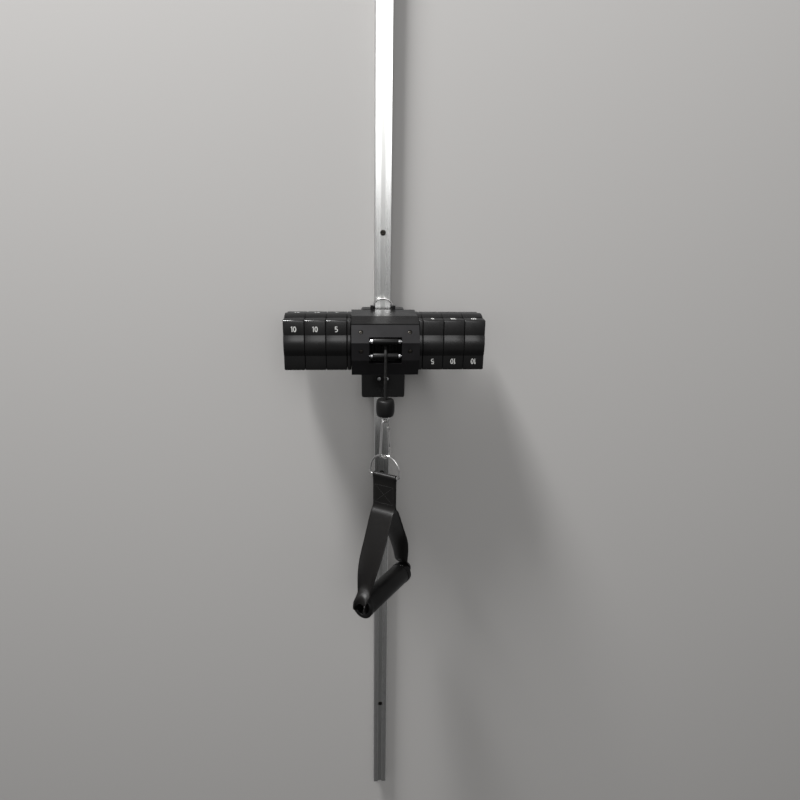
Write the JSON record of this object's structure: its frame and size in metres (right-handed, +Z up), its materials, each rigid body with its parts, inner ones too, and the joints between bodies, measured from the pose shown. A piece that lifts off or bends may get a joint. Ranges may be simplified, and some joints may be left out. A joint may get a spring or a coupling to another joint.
{
  "type": "wall pulley weight stack",
  "caption": "Wall rail with a sliding carriage whose rope spool is driven by stacked spring packs on both sides, with a stirrup handle on a snap hook.",
  "frame": {"origin": "on the back face of the wall rail, on its centre line, at the height of the spool's axis at rest", "axes": "+Z up along the rail, +Y into the wall, +X to the right as seen from the room; the packs stack along X"},
  "size_m": [0.2998, 0.2197, 1.8284],
  "materials": {
    "rail_aluminium": "satin anodised",
    "shell_plastic": "semi-gloss black",
    "cover_plastic": "fine texture, dark grey-black",
    "steel": "bright machined",
    "black_oxide_steel": "black oxide",
    "spring_steel": "blued strip",
    "chrome": "polished",
    "inner_plastic": "smooth black",
    "liner_plastic": "smooth off-white",
    "rope": "braided",
    "rubber": "matt black",
    "webbing": "woven"
  },
  "bodies": {
    "rail": {"rail_lower": "rail_aluminium", "rail_upper": "rail_aluminium", "rail_joint_pin": "steel", "wall_screw_1": "black_oxide_steel", "wall_screw_2": "black_oxide_steel", "wall_screw_3": "black_oxide_steel", "wall_screw_4": "black_oxide_steel"},
    "carriage": {"carriage_block": "shell_plastic", "glide_liner_left": "liner_plastic", "glide_liner_right": "liner_plastic", "tail_screw_1": "steel", "tail_screw_2": "steel", "housing_shell": "shell_plastic", "front_cover": "cover_plastic", "cover_screw_1": "black_oxide_steel", "cover_screw_2": "black_oxide_steel", "cover_screw_3": "black_oxide_steel", "cover_screw_4": "black_oxide_steel", "bearing_left": "steel", "bearing_right": "steel", "pack_seat_left": "shell_plastic", "pack_seat_right": "shell_plastic", "rope_lead": "rope"},
    "lock": {"lock_wedge": "black_oxide_steel", "lock_pull": "chrome"},
    "spool": {"main_shaft": "steel", "rope_spool": "inner_plastic", "rope_winding": "rope"},
    "upper_roller": {"upper_roller_axle": "steel", "upper_roller_sleeve": "inner_plastic"},
    "lower_roller": {"lower_roller_axle": "steel", "lower_roller_sleeve": "inner_plastic"},
    "rope_end": {"rope_run": "rope", "rope_stop": "rubber"},
    "swivel": {"swivel_eye": "chrome"},
    "hook": {"hook_body": "chrome", "gate_pin": "steel"},
    "gate": {"hook_gate": "chrome"},
    "ring": {"d_ring": "chrome"},
    "strap": {"strap": "webbing"},
    "grip": {"grip_core": "inner_plastic", "grip_sleeve": "rubber"},
    "pack_left_1": {"pack_left_1_case": "shell_plastic", "pack_left_1_spring": "spring_steel"},
    "hub_left_1": {"pack_left_1_hub": "steel"},
    "pack_left_2": {"pack_left_2_case": "shell_plastic", "pack_left_2_spring": "spring_steel"},
    "hub_left_2": {"pack_left_2_hub": "steel"},
    "pack_left_3": {"pack_left_3_case": "shell_plastic", "pack_left_3_spring": "spring_steel"},
    "hub_left_3": {"pack_left_3_hub": "steel"},
    "pack_right_1": {"pack_right_1_case": "shell_plastic", "pack_right_1_spring": "spring_steel"},
    "hub_right_1": {"pack_right_1_hub": "steel"},
    "pack_right_2": {"pack_right_2_case": "shell_plastic", "pack_right_2_spring": "spring_steel"},
    "hub_right_2": {"pack_right_2_hub": "steel"},
    "pack_right_3": {"pack_right_3_case": "shell_plastic", "pack_right_3_spring": "spring_steel"},
    "hub_right_3": {"pack_right_3_hub": "steel"}
  },
  "joints": [
    {"name": "carriage_slide", "type": "slide", "parent": "rail", "child": "carriage", "axis": [0, 0, 1], "range_m": [-0.85, 0.8]},
    {"name": "lock_lift", "type": "slide", "parent": "carriage", "child": "lock", "axis": [0, 0, 1], "range_m": [0, 0.006], "stiffness_N_per_m": 400, "springref_m": -0.01},
    {"name": "upper_roller_spin", "type": "hinge", "parent": "carriage", "child": "upper_roller", "pos_m": [0, -0.1152, 0.0092], "axis": [1, 0, 0], "continuous": true},
    {"name": "rope_pull", "type": "slide", "parent": "carriage", "child": "rope_end", "axis": [0, 0, -1], "range_m": [0, 1.2], "stiffness_N_per_m": 60, "springref_m": -0.5, "deforming": ["rope_run"]},
    {"name": "spool_spin", "type": "hinge", "parent": "carriage", "child": "spool", "pos_m": [0, -0.0635, 0], "axis": [1, 0, 0], "range_deg": [0, 3100]},
    {"name": "lower_roller_spin", "type": "hinge", "parent": "carriage", "child": "lower_roller", "pos_m": [0, -0.1152, -0.0126], "axis": [1, 0, 0], "range_deg": [0, 9700]},
    {"name": "pack_left_1_draw", "type": "slide", "parent": "carriage", "child": "pack_left_1", "axis": [-1, 0, 0], "range_m": [0, 0.014]},
    {"name": "hub_left_1_spin", "type": "hinge", "parent": "pack_left_1", "child": "hub_left_1", "pos_m": [0, -0.0635, 0], "axis": [1, 0, 0], "range_deg": [0, 3100]},
    {"name": "pack_left_2_draw", "type": "slide", "parent": "pack_left_1", "child": "pack_left_2", "axis": [-1, 0, 0], "range_m": [0, 0.014]},
    {"name": "hub_left_2_spin", "type": "hinge", "parent": "pack_left_2", "child": "hub_left_2", "pos_m": [0, -0.0635, 0], "axis": [1, 0, 0], "range_deg": [0, 3100]},
    {"name": "pack_left_3_draw", "type": "slide", "parent": "pack_left_2", "child": "pack_left_3", "axis": [-1, 0, 0], "range_m": [0, 0.014]},
    {"name": "hub_left_3_spin", "type": "hinge", "parent": "pack_left_3", "child": "hub_left_3", "pos_m": [0, -0.0635, 0], "axis": [1, 0, 0], "range_deg": [0, 3100]},
    {"name": "pack_right_1_draw", "type": "slide", "parent": "carriage", "child": "pack_right_1", "axis": [1, 0, 0], "range_m": [0, 0.014]},
    {"name": "hub_right_1_spin", "type": "hinge", "parent": "pack_right_1", "child": "hub_right_1", "pos_m": [0, -0.0635, 0], "axis": [1, 0, 0], "range_deg": [0, 3100]},
    {"name": "pack_right_2_draw", "type": "slide", "parent": "pack_right_1", "child": "pack_right_2", "axis": [1, 0, 0], "range_m": [0, 0.014]},
    {"name": "hub_right_2_spin", "type": "hinge", "parent": "pack_right_2", "child": "hub_right_2", "pos_m": [0, -0.0635, 0], "axis": [1, 0, 0], "range_deg": [0, 3100]},
    {"name": "pack_right_3_draw", "type": "slide", "parent": "pack_right_2", "child": "pack_right_3", "axis": [1, 0, 0], "range_m": [0, 0.014]},
    {"name": "hub_right_3_spin", "type": "hinge", "parent": "pack_right_3", "child": "hub_right_3", "pos_m": [0, -0.0635, 0], "axis": [1, 0, 0], "range_deg": [0, 3100]},
    {"name": "swivel_turn", "type": "hinge", "parent": "rope_end", "child": "swivel", "pos_m": [0, -0.123, -0.1082], "axis": [0, 0, 1], "continuous": true},
    {"name": "hook_swing", "type": "hinge", "parent": "swivel", "child": "hook", "pos_m": [0, -0.123, -0.1082], "axis": [-0.5736, -0.8191, 0], "range_deg": [-15, 50]},
    {"name": "gate_open", "type": "hinge", "parent": "hook", "child": "gate", "pos_m": [0.00519, -0.12058, -0.1243], "axis": [-0.4226, 0.9063, 0], "range_deg": [0, 20], "stiffness_Nm_per_rad": 0.02, "springref_deg": -28.65},
    {"name": "ring_swing", "type": "hinge", "parent": "hook", "child": "ring", "pos_m": [0, -0.123, -0.16875], "axis": [0.848, -0.5299, 0], "range_deg": [-45, 8]},
    {"name": "strap_swing", "type": "hinge", "parent": "ring", "child": "strap", "pos_m": [0, -0.123, -0.20325], "axis": [0.848, -0.5299, 0], "range_deg": [-45, 10]},
    {"name": "grip_spin", "type": "hinge", "parent": "strap", "child": "grip", "pos_m": [0, -0.123, -0.40845], "axis": [0.5878, 0.809, 0], "continuous": true}
  ],
  "couplings": [
    {"joint": "spool_spin", "follows": "rope_pull", "rad_per_m": 44.248},
    {"joint": "lower_roller_spin", "follows": "rope_pull", "rad_per_m": 138.89},
    {"joint": "hub_left_1_spin", "follows": "rope_pull", "rad_per_m": 44.248},
    {"joint": "hub_left_2_spin", "follows": "rope_pull", "rad_per_m": 44.248},
    {"joint": "hub_left_3_spin", "follows": "rope_pull", "rad_per_m": 44.248},
    {"joint": "hub_right_1_spin", "follows": "rope_pull", "rad_per_m": 44.248},
    {"joint": "hub_right_2_spin", "follows": "rope_pull", "rad_per_m": 44.248},
    {"joint": "hub_right_3_spin", "follows": "rope_pull", "rad_per_m": 44.248}
  ]
}
